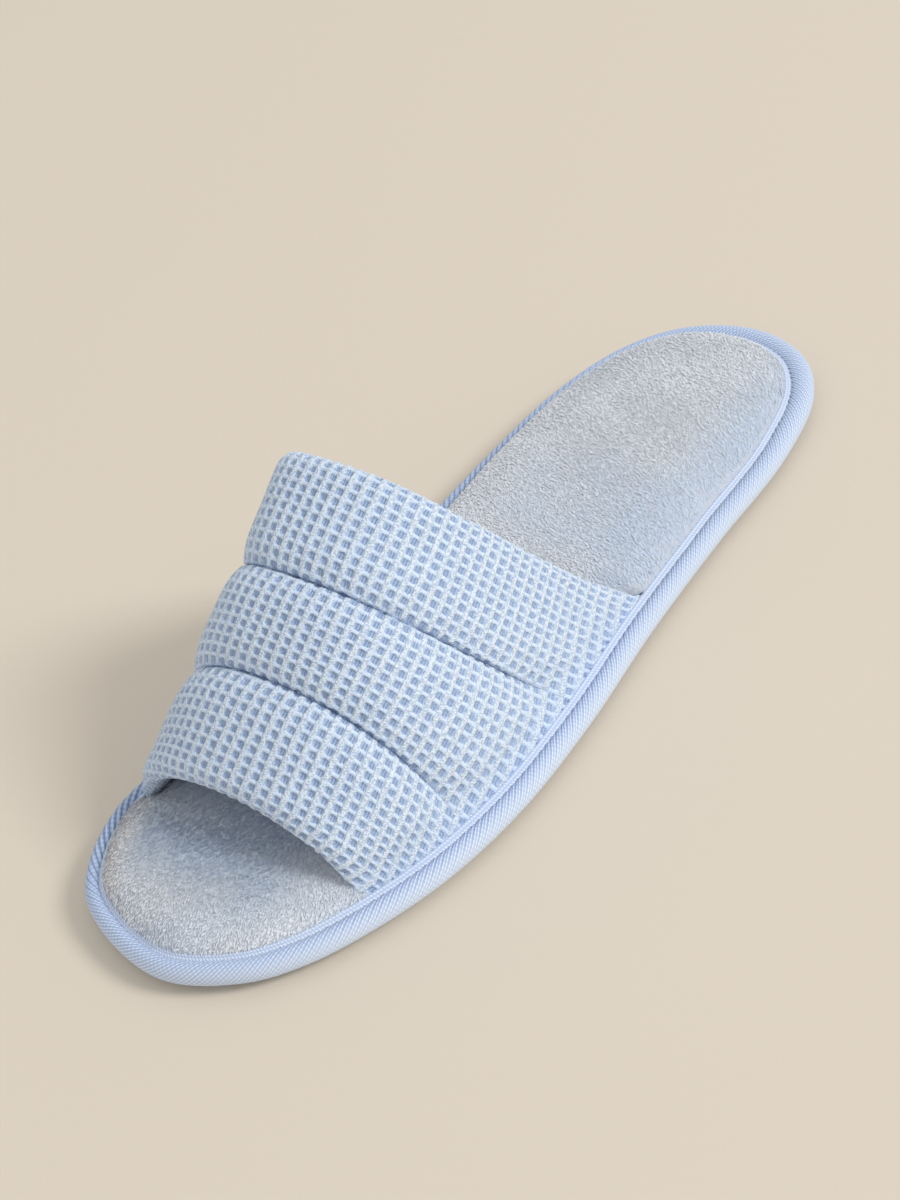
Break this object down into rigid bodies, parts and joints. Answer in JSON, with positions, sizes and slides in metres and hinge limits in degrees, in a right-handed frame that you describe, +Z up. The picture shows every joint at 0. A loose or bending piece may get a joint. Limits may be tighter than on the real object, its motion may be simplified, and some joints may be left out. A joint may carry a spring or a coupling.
{
  "type": "slide slipper",
  "caption": "Left open-toe, open-back house slipper: flat sole with woven tape edge, domed plush insole and a padded waffle-cloth band quilted into channels.",
  "frame": {"origin": "on the floor under the middle of the sole", "axes": "+Z up, +Y from the toe to the heel, +X to the lateral side, the wearer's left"},
  "size_m": [0.0986, 0.26, 0.0774],
  "materials": {
    "outsole": "matt foam rubber sheet, pale grey blue",
    "edge_binding": "woven twill tape, light periwinkle blue",
    "insole": "short plush pile over foam, grey blue",
    "upper": "waffle-weave cloth over padding, pale blue"
  },
  "bodies": {
    "root": {"outsole": "outsole", "edge_binding": "edge_binding", "insole": "insole", "upper": "upper"}
  },
  "joints": []
}
